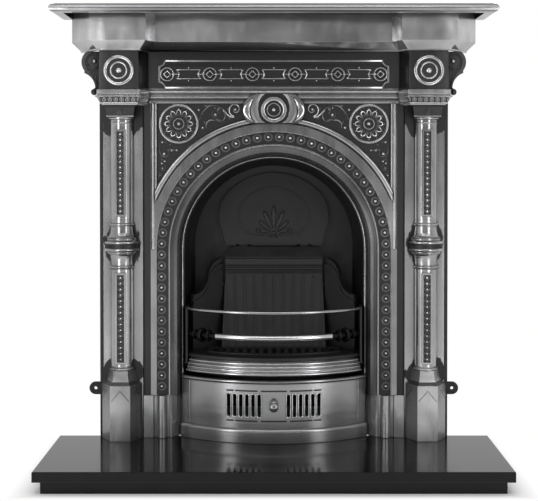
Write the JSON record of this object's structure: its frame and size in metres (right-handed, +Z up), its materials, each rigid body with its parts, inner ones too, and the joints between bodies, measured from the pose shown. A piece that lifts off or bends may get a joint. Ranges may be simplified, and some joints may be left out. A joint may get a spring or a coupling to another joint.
{
  "type": "cast iron fireplace",
  "caption": "Arched cast iron fireplace with columns, a mantel shelf, a bowed open grate and an ash cover, on a boxed and lipped stone hearth.",
  "frame": {"origin": "on the floor, under the middle of the whole object's box", "axes": "+X to the right as seen from the front, +Y back into the wall, +Z up; the front faces -Y"},
  "size_m": [1.219, 0.559, 1.264],
  "materials": {
    "polished_iron": "cast iron, rubbed bright on the high faces and dark in the recesses",
    "black_iron": "matt black heat-proof finish",
    "steel": "dull mild steel",
    "granite": "polished black granite with a faint speckle"
  },
  "bodies": {
    "fireplace": {"mantel_shelf": "polished_iron", "cornice": "polished_iron", "entablature_rail": "polished_iron", "keystone": "polished_iron", "keystone_boss": "polished_iron", "arch_cove": "polished_iron", "left_jamb": "polished_iron", "right_jamb": "polished_iron", "left_leg_plinth": "polished_iron", "right_leg_plinth": "polished_iron", "left_upper_shaft": "polished_iron", "right_upper_shaft": "polished_iron", "left_lower_shaft": "polished_iron", "right_lower_shaft": "polished_iron", "left_roundel": "polished_iron", "right_roundel": "polished_iron", "left_rosette": "polished_iron", "right_rosette": "polished_iron", "arch_beading": "polished_iron", "left_capital": "polished_iron", "right_capital": "polished_iron", "left_abacus": "polished_iron", "right_abacus": "polished_iron", "left_collar": "polished_iron", "right_collar": "polished_iron", "left_column_base": "polished_iron", "right_column_base": "polished_iron", "left_pearl_strips": "polished_iron", "right_pearl_strips": "polished_iron", "left_corner_block": "polished_iron", "right_corner_block": "polished_iron", "left_scroll_bracket": "polished_iron", "right_scroll_bracket": "polished_iron", "frieze_panel": "polished_iron", "arch_plate": "polished_iron", "arch_channel": "polished_iron", "fret_moulding": "polished_iron", "firebox_shell": "black_iron", "firebox_back": "black_iron", "ash_pit_floor": "black_iron", "fireback": "black_iron", "fireback_ledge": "black_iron", "left_cheek": "black_iron", "right_cheek": "black_iron", "grate_frame": "black_iron", "door_hinge_pin": "steel", "shelf_screws": "steel", "column_bolts": "steel", "jamb_bolts": "steel", "hearth_slab": "granite", "hearth_slips": "granite"},
    "register_door": {"register_door": "black_iron"},
    "ash_cover": {"ash_cover": "polished_iron", "cover_knob": "polished_iron"},
    "ash_pan": {"ash_pan": "steel"},
    "front_bars": {"left_bar_plate": "black_iron", "right_bar_plate": "black_iron", "top_bar": "polished_iron", "lower_bar": "polished_iron"},
    "bottom_grate": {"bottom_grate": "black_iron"}
  },
  "joints": [
    {"name": "register_door_hinge", "type": "hinge", "parent": "fireplace", "child": "register_door", "pos_m": [0, 0.2515, 0.584], "axis": [1, 0, 0], "range_deg": [0, 40]},
    {"name": "ash_cover_slide", "type": "slide", "parent": "fireplace", "child": "ash_cover", "axis": [0, -1, 0], "range_m": [0, 0.25]},
    {"name": "ash_pan_slide", "type": "slide", "parent": "fireplace", "child": "ash_pan", "axis": [0, -1, 0], "range_m": [0, 0.15]},
    {"name": "front_bars_lift", "type": "slide", "parent": "fireplace", "child": "front_bars", "axis": [0, 0, 1], "range_m": [0, 0.04]},
    {"name": "bottom_grate_lift", "type": "slide", "parent": "fireplace", "child": "bottom_grate", "axis": [0, 0, 1], "range_m": [0, 0.02]}
  ],
  "couplings": [
    {"joint": "ash_pan_slide", "follows": "ash_cover_slide", "ratio": 0.6}
  ]
}
